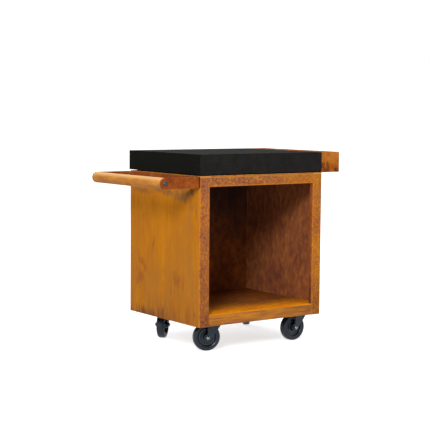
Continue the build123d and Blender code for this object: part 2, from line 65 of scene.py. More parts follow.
# %% Cabinet planes, in metres
roof_low, roof_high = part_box("roof_plate")
X_LEFT, X_RIGHT = roof_low.x, roof_high.x
Y_FRONT, Y_REAR = roof_low.y, roof_high.y
Z_BASE, Z_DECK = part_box("left_side_panel")[0].z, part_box("floor_pan")[1].z
Z_HEADER, Z_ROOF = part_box("front_header")[0].z, roof_high.z
SHEET = roof_high.z - roof_low.z
cabinet = (X_RIGHT - X_LEFT, Y_REAR - Y_FRONT, Z_ROOF - Z_BASE)
print("cabinet in metres:", [round(side, 3) for side in cabinet], f"of {SHEET * 1000:.1f} mm sheet")

# %% [markdown]
# ## The camera
# A camera can be turned by hand until the picture looks right, but straight edges show the smallest error.
# These values were solved from the table's long edges, so that its corners fall about a pixel from the photograph's.
# Yaw turns the camera from the +Y direction towards +X, pitch lowers it, and roll levels the horizon.

# %% Camera at the photograph's viewpoint
IMAGE_PIXELS = 430
FOCAL_PIXELS = 1239.56
SENSOR_MM = 36.0
CORNER_TO_CAMERA = Vector((-3.11681, -4.44035, 1.10369))  # from the floor below the cabinet's front left corner
CAMERA_YAW, CAMERA_PITCH, CAMERA_ROLL = 0.6242, 0.0871, -0.0078


def into_scene(name, data):
    """A new object in the scene."""
    thing = bpy.data.objects.new(name, data)
    bpy.context.scene.collection.objects.link(thing)
    return thing


camera_data = bpy.data.cameras.new("camera")
camera_data.sensor_width = SENSOR_MM
camera_data.lens = FOCAL_PIXELS * SENSOR_MM / IMAGE_PIXELS
camera = into_scene("camera", camera_data)
camera.matrix_world = (
    Matrix.Translation(Vector((X_LEFT, Y_FRONT, 0.0)) + CORNER_TO_CAMERA)
    @ Matrix.Rotation(-CAMERA_YAW, 4, "Z")
    @ Matrix.Rotation(math.pi / 2 - CAMERA_PITCH, 4, "X")
    @ Matrix.Rotation(-CAMERA_ROLL, 4, "Z")
)
bpy.context.scene.camera = camera
bpy.context.scene.view_settings.view_transform = "Standard"
print(f"camera {camera_data.lens:.1f} mm at {[round(v, 3) for v in camera.location]}")

# %% [markdown]
# ## The building blocks of a finish
# Every material here is a tree of nodes, and most trees use the same few steps: noise at some scale, a ramp of
# colours, a mix of two layers. They could be wired by hand in the shader editor, but short functions for these steps
# keep each finish readable and easy to repeat.
# The noise reads object coordinates, which are metres on the real piece, so a scale of 50 gives spots near 20 mm.

# %% Nodes, values and colours
def feed(tree, socket, value):
    """Link an output to the socket, or set the socket to a plain value."""
    if isinstance(value, bpy.types.NodeSocket):
        tree.links.new(value, socket)
    else:
        socket.default_value = value


def add(tree, kind, inputs=None, **settings):
    """A new node with its settings, and its inputs set or linked by name or number."""
    node = tree.nodes.new(kind)
    for name, value in settings.items():
        setattr(node, name, value)
    for key, value in (inputs or {}).items():
        feed(tree, node.inputs[key], value)
    return node


def srgb(red, green, blue):
    """A colour as seen on a screen, 0 to 255, turned into the linear colour that shaders take."""
    parts = [v / 255 for v in (red, green, blue)]
    return (*[p / 12.92 if p <= 0.04045 else ((p + 0.055) / 1.055) ** 2.4 for p in parts], 1.0)


print("mid grey 128 is", round(srgb(128, 128, 128)[0], 3), "in linear light")

# %% Places and sums
def here(tree):
    """The place on the piece, in metres."""
    return add(tree, "ShaderNodeTexCoord").outputs["Object"]


def along(tree, axis):
    """The place along X, Y or Z, in metres."""
    return add(tree, "ShaderNodeSeparateXYZ", {0: here(tree)}).outputs["XYZ".index(axis)]


def combine(tree, operation, a, b=0.0):
    """One sum on two values."""
    return add(tree, "ShaderNodeMath", {0: a, 1: b}, operation=operation).outputs[0]


def times(tree, a, b):
    """The product of two values, such as a mask and its strength."""
    return combine(tree, "MULTIPLY", a, b)


def on_vectors(tree, operation, a, b=(0.0, 0.0, 0.0), result="Vector"):
    """One sum on two vectors."""
    return add(tree, "ShaderNodeVectorMath", {0: a, 1: b}, operation=operation).outputs[result]


def largest(tree, vector):
    """The largest of a vector's three parts."""
    parts = add(tree, "ShaderNodeSeparateXYZ", {0: vector}).outputs
    return combine(tree, "MAXIMUM", combine(tree, "MAXIMUM", parts[0], parts[1]), parts[2])


print("steps on places: here, along, combine, times, on_vectors, largest")

# %% Noise and masks
def noise(tree, scale, stretch=(1, 1, 1), detail=4.0, roughness=0.5, shift=0.0):
    """Cloudy noise in object coordinates. A stretch below 1 draws the clouds out along that axis."""
    mapping = {"Vector": here(tree), "Location": (shift, shift, shift), "Scale": [scale * s for s in stretch]}
    mapped = add(tree, "ShaderNodeMapping", mapping).outputs[0]
    cloud = {"Vector": mapped, "Scale": 1.0, "Detail": detail, "Roughness": roughness}
    return add(tree, "ShaderNodeTexNoise", cloud).outputs[0]


def band(tree, value, start, end):
    """0 up to start and 1 past end, smooth between. Start may be the larger of the two."""
    limits = {"Value": value, "From Min": start, "From Max": end}
    return add(tree, "ShaderNodeMapRange", limits, interpolation_type="SMOOTHSTEP").outputs[0]


print("steps that make a value: noise, band")

# %% Ramps and mixes
def ramp(tree, factor, stops):
    """Colours along a factor, given as (position, colour) pairs."""
    node = add(tree, "ShaderNodeValToRGB", {"Fac": factor})
    elements = node.color_ramp.elements
    while len(elements) < len(stops):
        elements.new(1.0)
    for element, (position, color) in zip(elements, stops):
        element.position = position
        element.color = color
    return node.outputs["Color"]


def mix(tree, factor, lower, upper, blend="MIX"):
    """One colour layer over another."""
    node = add(tree, "ShaderNodeMix", {0: factor, 6: lower, 7: upper}, data_type="RGBA", blend_type=blend)
    return node.outputs[2]


def tinted(tree, factor, color, tint):
    """A colour that is multiplied by a tint where the factor is 1."""
    return mix(tree, factor, color, mix(tree, 1.0, color, tint, "MULTIPLY"))


print("steps on colours: ramp, mix, tinted")

# %% Start a finish and give it to pieces
def start_finish(name, **constants):
    """A new material, with the shader's constant inputs set directly on its sockets."""
    material = bpy.data.materials.new(name)
    material.use_nodes = True
    shader = material.node_tree.nodes["Principled BSDF"]
    for socket, value in constants.items():
        shader.inputs[socket.replace("_", " ")].default_value = value
    return material, material.node_tree, shader


def relief(tree, shader, height, strength, distance):
    """Bumps from a height between 0 and 1, where 1 stands distance metres high."""
    bumps = {"Height": height, "Strength": strength, "Distance": distance}
    feed(tree, shader.inputs["Normal"], add(tree, "ShaderNodeBump", bumps).outputs["Normal"])


def dress(material, *names):
    """Give CAD pieces this one material."""
    for name in names:
        nodes[name].data.materials.clear()
        nodes[name].data.materials.append(material)
    print(f"{material.name}: {len(material.node_tree.nodes)} nodes on {', '.join(names)}")


print(f"{len(nodes)} pieces to dress")

# %% [markdown]
# ## Weathered steel
# The cabinet is bare steel that has rusted in the rain. From a step away it is ochre or red-brown, up close it is
# mottled, and its edges are bright orange where the rust is thickest. One noise would look like clouds, so each
# look has four layers: large patches, mottles, hairline runs drawn out along the sheet, and fine grain.
# Each noise adds a number of its own to the finish's seed, so that no two patterns agree.

# %% One look of rust
HAIRLINE_SCALE, GRAIN_SCALE = 170, 260
HAIRLINE_STRETCH = 0.015
RUN_TINTS = [(0.35, (0.80, 0.77, 0.78, 1)), (0.65, (1.10, 1.10, 1.06, 1))]
GRIT_TINTS = [(0.3, (0.72, 0.69, 0.70, 1)), (0.7, (1.22, 1.20, 1.16, 1))]
GRIT_SHARE = 0.5


def drawn_out(axis, amount):
    """Scale factors that draw a noise out along one axis."""
    return [amount if name == axis else 1 for name in "XYZ"]


def rust_look(tree, look, patch, mottle, seed, share=0.55, drawn=0.6, runs=0.3, flow="Z"):
    """Rust colours from large patches and mottles, with hairline runs along flow and fine grain."""
    patches = noise(tree, patch, drawn_out(flow, drawn), shift=seed)
    mottles = noise(tree, mottle, drawn_out(flow, drawn), detail=6, roughness=0.6, shift=seed + 3)
    pattern = combine(tree, "ADD", times(tree, patches, 1 - share), times(tree, mottles, share))
    hairlines = noise(tree, HAIRLINE_SCALE, drawn_out(flow, HAIRLINE_STRETCH), roughness=0.65, shift=seed + 5)
    color = tinted(tree, runs, ramp(tree, pattern, look), ramp(tree, hairlines, RUN_TINTS))
    grain = noise(tree, GRAIN_SCALE, detail=6, roughness=0.72, shift=seed + 7)
    return tinted(tree, GRIT_SHARE, color, ramp(tree, grain, GRIT_TINTS))


print(f"runs about {1000 / HAIRLINE_SCALE:.0f} mm apart, grain of about {1000 / GRAIN_SCALE:.0f} mm")

# %% Rust out of the rain, darkened as painted shade
def tones(*stops):
    """The stops of a ramp, each a position and a colour as seen on a screen."""
    return [(position, srgb(*color)) for position, *color in stops]


# sheltered rust, darkened as painted shade, for the inside and the undersides
SHADED = tones((0.34, 84, 43, 24), (0.46, 112, 58, 26), (0.55, 130, 70, 28), (0.66, 150, 85, 32))
EDGE = srgb(206, 122, 24)
BLOOM_SHARE = 0.55


def shaded_look(tree, seed, flow="Z", look=SHADED):
    """The dark rust out of the rain, darkened further as painted shade, with a few orange blooms."""
    color = rust_look(tree, look, patch=5, mottle=40, seed=seed, runs=0.5, flow=flow)
    blooms = band(tree, noise(tree, 140, roughness=0.65, shift=seed + 13), 0.60, 0.68)
    clusters = band(tree, noise(tree, 9, detail=3, shift=seed + 15), 0.42, 0.62)
    return mix(tree, times(tree, times(tree, blooms, clusters), BLOOM_SHARE), color, EDGE)


print(f"shaded rust in {len(SHADED)} tones")

# %% Where a sheet's edges and bends are, and the inside of the cabinet
CUT_COSINES, BEND_COSINES = (0.995, 0.90), (0.99, 0.90)  # of the angle off the flat, from plain to bright
BOX_SOFTNESS = 0.0008
INSIDE_LOW = Vector((X_LEFT + SHEET / 2, Y_FRONT + SHEET / 2, 0.0))
INSIDE_HIGH = Vector((X_RIGHT - SHEET / 2, Y_REAR - 1.5 * SHEET, Z_ROOF - SHEET / 2))


def bright_edges(tree, radius, bends=1.0):
    """1 near cut edges and up to bends on bends, 0 on the flat of a sheet that lies along the axes."""
    surface = add(tree, "ShaderNodeNewGeometry").outputs["Normal"]
    rounded = add(tree, "ShaderNodeBevel", {"Radius": radius}, samples=6).outputs[0]
    cut = band(tree, on_vectors(tree, "DOT_PRODUCT", surface, rounded, "Value"), *CUT_COSINES)
    bent = band(tree, largest(tree, on_vectors(tree, "ABSOLUTE", surface)), *BEND_COSINES)
    return combine(tree, "MAXIMUM", cut, times(tree, bent, bends))


def inside_box(tree, low, high):
    """1 inside a box of the cabinet and 0 outside it."""
    centre = [(a + b) / 2 for a, b in zip(low, high)]
    half = [(b - a) / 2 for a, b in zip(low, high)]
    away = on_vectors(tree, "ABSOLUTE", on_vectors(tree, "SUBTRACT", here(tree), centre))
    past = largest(tree, on_vectors(tree, "SUBTRACT", away, half))
    return band(tree, past, BOX_SOFTNESS, -BOX_SOFTNESS)


print("inside of the cabinet:", [round(b - a, 3) for a, b in zip(INSIDE_LOW, INSIDE_HIGH)])

# %% Edges, roughness and relief of rust
RUST_GLOSS = 0.06
EDGE_RADIUS = 0.0035  # how far the bright rust reaches from an edge
SHELTER = 0.85  # the share of the bright rust that is missing out of the rain
CRUST_SCALE, CRUST_STRENGTH, CRUST_HEIGHT = 320, 0.35, 0.0006


def finish_rust(tree, shader, color, edge_amount, seed, edge_color=EDGE, sheltered=0.0, bends=1.0):
    """Orange edges over the given colour, fewer where sheltered is 1, and the roughness and relief of rust."""
    patchy = band(tree, noise(tree, 60, detail=3, shift=seed + 9), 0.30, 0.60)
    edges = times(tree, bright_edges(tree, EDGE_RADIUS, bends), patchy)
    edges = times(tree, edges, combine(tree, "SUBTRACT", 1.0, times(tree, sheltered, SHELTER)))
    feed(tree, shader.inputs["Base Color"], mix(tree, times(tree, edges, edge_amount), color, edge_color))
    crust = noise(tree, CRUST_SCALE, detail=6, roughness=0.7, shift=seed + 11)
    feed(tree, shader.inputs["Roughness"], band(tree, crust, -0.6, 0.9))
    relief(tree, shader, crust, CRUST_STRENGTH, CRUST_HEIGHT)


print(f"crust of rust {CRUST_HEIGHT * 1000:.1f} mm high, bright edges {EDGE_RADIUS * 1000:.1f} mm wide")

# %% [markdown]
# ## The side panels
# Each side panel is one sheet, bent round the front corner into a stile. The long outer face has weathered to a
# golden ochre, with a few stains and short dark runs along the lowest edge. The stile is redder and finely mottled.
# A painted picture could hold the stains, but a short list of soft ovals is easy to move and to add to. Two of them,
# under the handle arm, are partly painted shadow.

# %% One stain
RAGGED = 2.4  # how far noise breaks up a stain's outline
FADE_OUT, FADE_IN = 2.3, 1.2  # where a stain ends and where it is full, in half sizes with the noise added


def stain(tree, color, depth, height, spot, seed):
    """A soft oval stain with a ragged outline, from one line of the lists below."""
    mid_depth, mid_height, half_depth, half_height, slope, strength, tone = spot
    aside = combine(tree, "SUBTRACT", depth, mid_depth)
    rise = combine(tree, "SUBTRACT", height, mid_height)
    rise = combine(tree, "SUBTRACT", rise, times(tree, aside, slope))
    across, up = combine(tree, "DIVIDE", aside, half_depth), combine(tree, "DIVIDE", rise, half_height)
    squares = combine(tree, "ADD", times(tree, across, across), times(tree, up, up))
    ragged = times(tree, noise(tree, 40, (1, 1, 0.6), detail=6, shift=seed), RAGGED)
    reach = combine(tree, "ADD", combine(tree, "SQRT", squares), ragged)
    return mix(tree, times(tree, band(tree, reach, FADE_OUT, FADE_IN), strength), color, tone)


print(f"a stain fades between {FADE_IN} and {FADE_OUT} half sizes")

# %% Stains of both side panels
SMUDGE_AND_SHADOW, SOOT_AND_SHADOW, RED_PATCH = srgb(126, 86, 46), srgb(82, 48, 28), srgb(138, 77, 36)
BRIGHT_GOLD, DULL = srgb(200, 126, 14), srgb(150, 99, 52)
# depth and height of the middle, half depth, half height, slope, strength, colour
LEFT_STAINS = [
    (0.180, 0.710, 0.110, 0.018, 0.00, 0.75, SMUDGE_AND_SHADOW),
    (-0.020, 0.717, 0.140, 0.022, 0.07, 0.85, SMUDGE_AND_SHADOW),
    # the next two are partly painted shadow: the arm's shadow and the dark corner under its root, over smudge and soot
    (-0.165, 0.710, 0.095, 0.040, 0.00, 0.95, SMUDGE_AND_SHADOW),
    (-0.232, 0.732, 0.070, 0.024, -0.42, 0.72, SOOT_AND_SHADOW),
    (-0.235, 0.663, 0.035, 0.030, 0.00, 0.35, SMUDGE_AND_SHADOW),
    (-0.262, 0.638, 0.010, 0.035, 0.00, 0.50, SMUDGE_AND_SHADOW),
    (0.165, 0.645, 0.110, 0.060, 0.00, 0.45, BRIGHT_GOLD),
    (0.003, 0.430, 0.026, 0.220, 0.00, 0.50, BRIGHT_GOLD),
    (-0.206, 0.572, 0.028, 0.085, 0.00, 0.50, DULL),
    (-0.230, 0.340, 0.070, 0.220, 0.00, 0.28, DULL),
    (0.090, 0.453, 0.028, 0.035, -2.10, 0.60, RED_PATCH),
    (0.180, 0.371, 0.060, 0.032, 0.81, 0.62, RED_PATCH),
    (0.205, 0.300, 0.052, 0.062, 0.30, 0.58, RED_PATCH),
    (-0.118, 0.318, 0.064, 0.046, 0.10, 0.58, RED_PATCH),
    (-0.062, 0.265, 0.010, 0.025, 0.00, 0.55, RED_PATCH),
    (-0.250, 0.178, 0.014, 0.026, 0.80, 0.65, SMUDGE_AND_SHADOW),
]
RIGHT_STAINS = [
    (-0.120, 0.640, 0.070, 0.060, 0.10, 0.55, SMUDGE_AND_SHADOW),
    (0.110, 0.480, 0.050, 0.070, -0.60, 0.60, RED_PATCH),
    (-0.040, 0.300, 0.060, 0.040, 0.30, 0.60, RED_PATCH),
    (0.190, 0.250, 0.040, 0.030, 0.10, 0.60, RED_PATCH),
]
print(f"{len(LEFT_STAINS)} stains on the left panel, {len(RIGHT_STAINS)} on the right")

# %% Golden outer face, with drips and wet runs above the lowest edge
GOLD = tones((0.36, 166, 101, 30), (0.46, 179, 110, 23), (0.54, 185, 115, 19), (0.64, 192, 121, 18))
FILM, DRIP, RUN = srgb(160, 104, 42), srgb(92, 54, 46), srgb(124, 76, 40)
FILM_SHARE, DRIP_SHARE, RUN_SHARE = 0.6, 0.8, 0.42
FILM_HEIGHTS = (0.72, 0.22)  # from no film to the whole of it
DRIP_LENGTH, RUN_LENGTH = 0.09, 0.15
DRIP_FADE = (0.025, -0.035)  # metres above a drip's end, from none to the whole of it
DRIP_DEPTHS = (-0.35, 0.2)  # from no drips to the most


def golden_face(tree, depth, height, stains, seed):
    """Golden rust under a dull film that thickens downwards, then stains, short drips and longer wet runs."""
    color = rust_look(tree, GOLD, patch=5, mottle=24, seed=seed, share=0.45, drawn=0.35, runs=0.55)
    film = band(tree, noise(tree, 8, (1, 1, 0.35), detail=5, roughness=0.6, shift=seed + 6), 0.38, 0.62)
    film = times(tree, times(tree, film, band(tree, height, *FILM_HEIGHTS)), FILM_SHARE)
    color = mix(tree, film, color, FILM)
    for number, spot in enumerate(stains):
        color = stain(tree, color, depth, height, spot, seed + number)
    thick = noise(tree, 45, (1, 1, 0.15), roughness=0.6, shift=seed + 2)
    reach = times(tree, band(tree, thick, 0.40, 0.75), DRIP_LENGTH)
    above = combine(tree, "SUBTRACT", combine(tree, "SUBTRACT", height, Z_BASE), reach)
    drips = times(tree, band(tree, above, *DRIP_FADE), band(tree, depth, *DRIP_DEPTHS))
    color = mix(tree, times(tree, drips, DRIP_SHARE), color, DRIP)
    wet = band(tree, noise(tree, 70, (1, 1, 0.06), roughness=0.6, shift=seed + 4), 0.46, 0.62)
    wet = times(tree, wet, band(tree, height, Z_BASE + RUN_LENGTH, Z_BASE + 0.02))
    return mix(tree, times(tree, wet, RUN_SHARE), color, RUN)


print(f"drips up to {DRIP_LENGTH * 1000:.0f} mm and wet runs up to {RUN_LENGTH * 1000:.0f} mm above the lowest edge")

# %% Mottled stile, and the return flange behind it
MOTTLED = tones((0.36, 117, 65, 51), (0.45, 146, 85, 54), (0.52, 165, 98, 50), (0.63, 201, 124, 40))
ORANGE = tones((0.36, 124, 70, 46), (0.45, 158, 94, 40), (0.53, 178, 109, 32), (0.64, 202, 130, 33))
FLANGE = tones((0.34, 112, 58, 40), (0.46, 142, 76, 40), (0.55, 158, 88, 44), (0.66, 180, 108, 56))
# the pale colour is scratch wear on the herb box, and a painted highlight on the roof's edges, the bracket's edges and
# the top line of the front sheets
OLIVE, PALE_WEAR_AND_HIGHLIGHT = srgb(152, 101, 56), srgb(216, 150, 78)
LOW_STILE_TINT, LOW_FLANGE_TINT = (0.60, 0.60, 0.66, 1.0), (0.45, 0.52, 0.88, 1.0)
LOW_STILE_SHARE, LOW_FLANGE_SHARE, TOP_HIGHLIGHT_SHARE = 0.55, 0.85, 0.6
FLANGE_SHADE_FROM = 0.42


def top_highlight(tree, color, height):
    """A painted highlight: the pale line where a front sheet meets the roof and catches the light from above."""
    line = band(tree, height, Z_ROOF - 0.010, Z_ROOF - 0.005)
    return mix(tree, times(tree, line, TOP_HIGHLIGHT_SHARE), color, PALE_WEAR_AND_HIGHLIGHT)


def mottled_stile(tree, height, look, seed, streaks, shade_from):
    """A finely mottled stile with olive streaks, which darkens downwards from a height, with a painted highlight at its
    top.
    """
    color = rust_look(tree, look, patch=14, mottle=120, seed=seed + 30, share=0.68, drawn=0.7, runs=0.25)
    dull = band(tree, noise(tree, 60, (1, 1, 0.12), detail=5, roughness=0.6, shift=seed + 33), 0.50, 0.64)
    color = mix(tree, times(tree, dull, streaks), color, OLIVE)
    low = times(tree, band(tree, height, shade_from, Z_BASE), LOW_STILE_SHARE)
    color = tinted(tree, low, color, LOW_STILE_TINT)
    return top_highlight(tree, color, height)


def red_flange(tree, height, seed):
    """The stile's return into the cabinet, redder than the stile and darker near the deck."""
    color = rust_look(tree, FLANGE, patch=9, mottle=60, seed=seed + 40)
    low = times(tree, band(tree, height, FLANGE_SHADE_FROM, Z_DECK), LOW_FLANGE_SHARE)
    return tinted(tree, low, color, LOW_FLANGE_TINT)


print(f"stiles and flanges from {Z_BASE:.3f} to {Z_ROOF:.3f} m high")

# %% Painted shade in the groove between a side panel and the handle bracket
bracket_low, bracket_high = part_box("handle_bracket")
# painted shade: the colour of the shadow in the groove between a side panel and the bracket
GROOVE_SHADE = srgb(58, 32, 22)
GROOVE_SHADE_SHARE = 0.85


def groove_shade_mask(tree, depth, height):
    """1 on a side panel's corner bends at the height of the handle bracket, where the groove gets painted shade."""
    corner = band(tree, combine(tree, "ABSOLUTE", depth), Y_REAR - 0.012, Y_REAR - 0.008)
    below_top = band(tree, height, bracket_high.z + 0.002, bracket_high.z - 0.002)
    above_base = band(tree, height, bracket_low.z - 0.003, bracket_low.z + 0.002)
    return times(tree, corner, times(tree, below_top, above_base))


print(f"bracket from {bracket_low.z:.3f} to {bracket_high.z:.3f} m high")

# %% Side panels
LIT_INSIDE = tones((0.34, 105, 60, 48), (0.46, 138, 79, 50), (0.55, 158, 95, 54), (0.66, 182, 115, 62))
BEND_SHARE = 0.22


def near_front(tree, depth, none, full):
    """1 up to full metres behind the cabinet's front plane, and 0 from none metres on."""
    return band(tree, depth, Y_FRONT + none, Y_FRONT + full)


def side_sheet(name, stile_tones, inner_tones, stains, seed, streaks, shade_from):
    """Golden outer face, an orange bend, a mottled stile, a red flange, a shaded inside and painted shade in the
    groove.
    """
    material, tree, shader = start_finish(name, Specular_IOR_Level=RUST_GLOSS)
    height, depth = along(tree, "Z"), along(tree, "Y")
    color = golden_face(tree, depth, height, stains, seed)
    bend = times(tree, near_front(tree, depth, none=0.018, full=0.006), BEND_SHARE)
    # the groove by the bracket gets painted shade, and its bend gets no bright rust
    corner_shade = groove_shade_mask(tree, depth, height)
    color = mix(tree, times(tree, bend, combine(tree, "SUBTRACT", 1.0, corner_shade)), color, EDGE)
    stile = mottled_stile(tree, height, stile_tones, seed, streaks, shade_from)
    color = mix(tree, near_front(tree, depth, none=0.004, full=0.002), color, stile)
    inner = shaded_look(tree, seed + 20, look=inner_tones)
    flange = red_flange(tree, height, seed)
    inner = mix(tree, near_front(tree, depth, none=0.024, full=0.021), inner, flange)
    indoors = inside_box(tree, INSIDE_LOW, INSIDE_HIGH)
    color = mix(tree, indoors, color, inner)
    # painted shade on the outer face, in the groove behind the bracket
    groove_shade = times(tree, corner_shade, band(tree, along(tree, "X"), X_LEFT + 0.003, X_LEFT + 0.001))
    color = mix(tree, times(tree, groove_shade, GROOVE_SHADE_SHARE), color, GROOVE_SHADE)
    finish_rust(tree, shader, color, edge_amount=0.8, seed=seed, sheltered=combine(tree, "MAXIMUM", indoors, groove_shade))
    return material


side = side_sheet("rusted_left_side", MOTTLED, SHADED, LEFT_STAINS, seed=1.0, streaks=0.25, shade_from=Z_ROOF)
dress(side, "left_side_panel")
side = side_sheet("rusted_right_side", ORANGE, LIT_INSIDE, RIGHT_STAINS, seed=51.0, streaks=0.32, shade_from=0.40)
dress(side, "right_side_panel")

# %% [markdown]
# ## The other sheets
# The header, the floor pan, the roof and the rear panel are separate sheets. One material could serve them all, but
# its pattern would run on across the seams, so each sheet has its own seed and tones. The floor pan is the most
# orange, because rain reaches its front edge, and its deck darkens towards the rear as painted shade. The roof's thin
# edge is the palest line on the cabinet, a painted highlight where the light from above catches it.

# %% Header, mottled at the left and more orange towards the right
VIOLET = tones((0.37, 104, 60, 58), (0.45, 134, 79, 58), (0.52, 154, 94, 50), (0.62, 198, 124, 42))
TURNS_ORANGE = (0.0, 0.38)  # metres along X
LOWER_EDGE_SHARE = 0.7
material, tree, shader = start_finish("rusted_header", Specular_IOR_Level=RUST_GLOSS)
left_end = rust_look(tree, VIOLET, patch=16, mottle=110, seed=11.0, share=0.7, drawn=0.7, flow="X")
right_end = rust_look(tree, ORANGE, patch=16, mottle=110, seed=15.0, share=0.7, drawn=0.7, flow="X")
color = mix(tree, band(tree, along(tree, "X"), *TURNS_ORANGE), left_end, right_end)
height = along(tree, "Z")
# painted highlight along the top of the header
color = top_highlight(tree, color, height)
# bright rust on the lower bend, with a painted highlight where it catches the light
lower_edge_rust_and_highlight = band(tree, height, Z_HEADER + 0.007, Z_HEADER + 0.003)
color = mix(tree, times(tree, lower_edge_rust_and_highlight, LOWER_EDGE_SHARE), color, EDGE)
indoors = inside_box(tree, INSIDE_LOW, INSIDE_HIGH)
color = mix(tree, indoors, color, shaded_look(tree, seed=31.0))
finish_rust(tree, shader, color, edge_amount=0.9, seed=11.0, sheltered=indoors)
dress(material, "front_header")

# %% Floor pan: a rail with runs along it, a bright front strip, and a deck that darkens towards the rear
RAIL = tones((0.36, 122, 72, 54), (0.45, 156, 96, 49), (0.53, 177, 113, 44), (0.64, 204, 135, 44))
BRIGHT = tones((0.36, 206, 110, 22), (0.46, 232, 133, 15), (0.54, 244, 147, 12), (0.64, 252, 164, 22))
RIGHT_RAIL_TINT, RIGHT_RAIL_SHARE, RIGHT_RAIL_FROM = (0.78, 0.79, 0.92, 1.0), 0.75, -0.15
STRIP_SHARE = 0.95
material, tree, shader = start_finish("rusted_floor_pan", Specular_IOR_Level=RUST_GLOSS)
height, depth = along(tree, "Z"), along(tree, "Y")
rail_color = rust_look(tree, RAIL, patch=14, mottle=90, seed=23.0, drawn=0.10, runs=0.7, flow="X")
right_share = times(tree, band(tree, along(tree, "X"), RIGHT_RAIL_FROM, X_RIGHT), RIGHT_RAIL_SHARE)
rail_color = tinted(tree, right_share, rail_color, RIGHT_RAIL_TINT)
deck_color = rust_look(tree, ORANGE, patch=7, mottle=45, seed=27.0, flow="X")
# painted shade: the deck darkens towards the rear of the compartment
deck_shade = shaded_look(tree, seed=29.0, flow="X")
deck_color = mix(tree, band(tree, depth, Y_FRONT + 0.05, Y_REAR - 0.10), deck_color, deck_shade)
strip = times(tree, near_front(tree, depth, none=0.180, full=0.030), STRIP_SHARE)
deck_color = mix(tree, strip, deck_color, rust_look(tree, BRIGHT, patch=12, mottle=60, seed=37.0, flow="X"))
color = mix(tree, band(tree, height, Z_DECK - 0.006, Z_DECK - 0.001), rail_color, deck_color)
# painted shade under the deck
behind = inside_box(tree, (X_LEFT, Y_FRONT + SHEET / 2, 0.0), (X_RIGHT, Y_REAR, Z_DECK - SHEET / 2))
color = mix(tree, behind, color, shaded_look(tree, seed=33.0, flow="X"))
finish_rust(tree, shader, color, edge_amount=0.9, seed=23.0, sheltered=behind)
dress(material, "floor_pan")

# %% Roof, rear panel and caster rails
BACK = tones((0.36, 148, 87, 34), (0.46, 170, 103, 29), (0.54, 184, 114, 25), (0.64, 198, 126, 31))
UPPER_SHADE = srgb(30, 29, 33)
UPPER_SHADE_FROM, UPPER_SHADE_TO, UPPER_SHADE_RAGGED, UPPER_SHADE_SHARE = 0.45, 0.85, 0.3, 0.8


def rusted_sheet(name, look, seed, edge_amount=0.8, patch=6, mottle=55, runs=0.3, edge_color=EDGE):
    """Weathered sheet with a look of its own outside the cabinet. Inside, painted shade darkens the upper part to near
    black.
    """
    material, tree, shader = start_finish(name, Specular_IOR_Level=RUST_GLOSS)
    color = rust_look(tree, look, patch, mottle, seed, runs=runs)
    # painted shade: the inside darkens to near black towards the top, with a ragged edge
    ragged = times(tree, noise(tree, 12, detail=5, shift=seed + 8), UPPER_SHADE_RAGGED)
    scale = band(tree, combine(tree, "ADD", along(tree, "Z"), ragged), UPPER_SHADE_FROM, UPPER_SHADE_TO)
    inner = mix(tree, times(tree, scale, UPPER_SHADE_SHARE), shaded_look(tree, seed + 20), UPPER_SHADE)
    indoors = inside_box(tree, INSIDE_LOW, INSIDE_HIGH)
    finish_rust(tree, shader, mix(tree, indoors, color, inner), edge_amount, seed, edge_color, indoors)
    return material


# the roof's pale edges are a painted highlight
dress(rusted_sheet("rusted_roof", ORANGE, seed=31.0, edge_amount=1.0, edge_color=PALE_WEAR_AND_HIGHLIGHT), "roof_plate")
dress(rusted_sheet("rusted_rear", BACK, seed=41.0, patch=7, mottle=38, runs=0.7), "rear_panel", "rear_rivets")
dress(rusted_sheet("rusted_channel", SHADED, seed=47.0, edge_amount=0.5), "front_caster_rail", "rear_caster_rail")

# %% [markdown]
# ## The herb box and the handle bracket
# The herb box is folded from the same steel, but it stays damp and is handled more: it is dark near its base, has a
# dry pale film above, and a few scratches. The bracket is a bent flat bar with an even red rust. The sheets' look
# could serve for both, but these marks are what tells them from the cabinet, so they are layers over it.

# %% Herb box
BOXED = tones(
    (0.36, 80, 38, 25), (0.45, 136, 70, 25), (0.52, 168, 94, 22), (0.60, 182, 109, 30), (0.68, 212, 152, 82)
)
DRY_FILM = srgb(190, 124, 58)
WET_TINT = (0.62, 0.55, 0.60, 1.0)
WET_SHARE, DRY_SHARE, SCRATCH_SHARE = 0.5, 0.35, 0.45
box_names = ["box_floor", "box_inner_wall", "box_outer_wall", "box_front_end", "box_rear_end"]
wall_low, wall_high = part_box("box_outer_wall")
material, tree, shader = start_finish("rusted_herb_box", Specular_IOR_Level=RUST_GLOSS)
color = rust_look(tree, BOXED, patch=16, mottle=60, seed=61.0)
rise = along(tree, "Z")
wet = times(tree, band(tree, rise, wall_low.z + 0.055, wall_low.z + 0.025), WET_SHARE)
color = tinted(tree, wet, color, WET_TINT)
dry = times(tree, band(tree, rise, wall_low.z + 0.045, wall_high.z - 0.020), DRY_SHARE)
color = mix(tree, dry, color, DRY_FILM)
line = combine(tree, "SUBTRACT", noise(tree, 7, (1, 1, 0.7), detail=0, shift=63.0), 0.5)
worn = band(tree, noise(tree, 16, detail=1, shift=66.0), 0.54, 0.62)
scratches = times(tree, band(tree, combine(tree, "ABSOLUTE", line), 0.007, 0.002), worn)
color = mix(tree, times(tree, scratches, SCRATCH_SHARE), color, PALE_WEAR_AND_HIGHLIGHT)
finish_rust(tree, shader, color, edge_amount=0.6, seed=61.0)
dress(material, *box_names)

# %% Handle bracket
RED_BAR = tones((0.34, 106, 49, 23), (0.46, 132, 64, 23), (0.55, 146, 73, 25), (0.66, 166, 92, 38))
material, tree, shader = start_finish("rusted_flat_bar", Specular_IOR_Level=RUST_GLOSS)
color = rust_look(tree, RED_BAR, patch=12, mottle=60, seed=71.0)
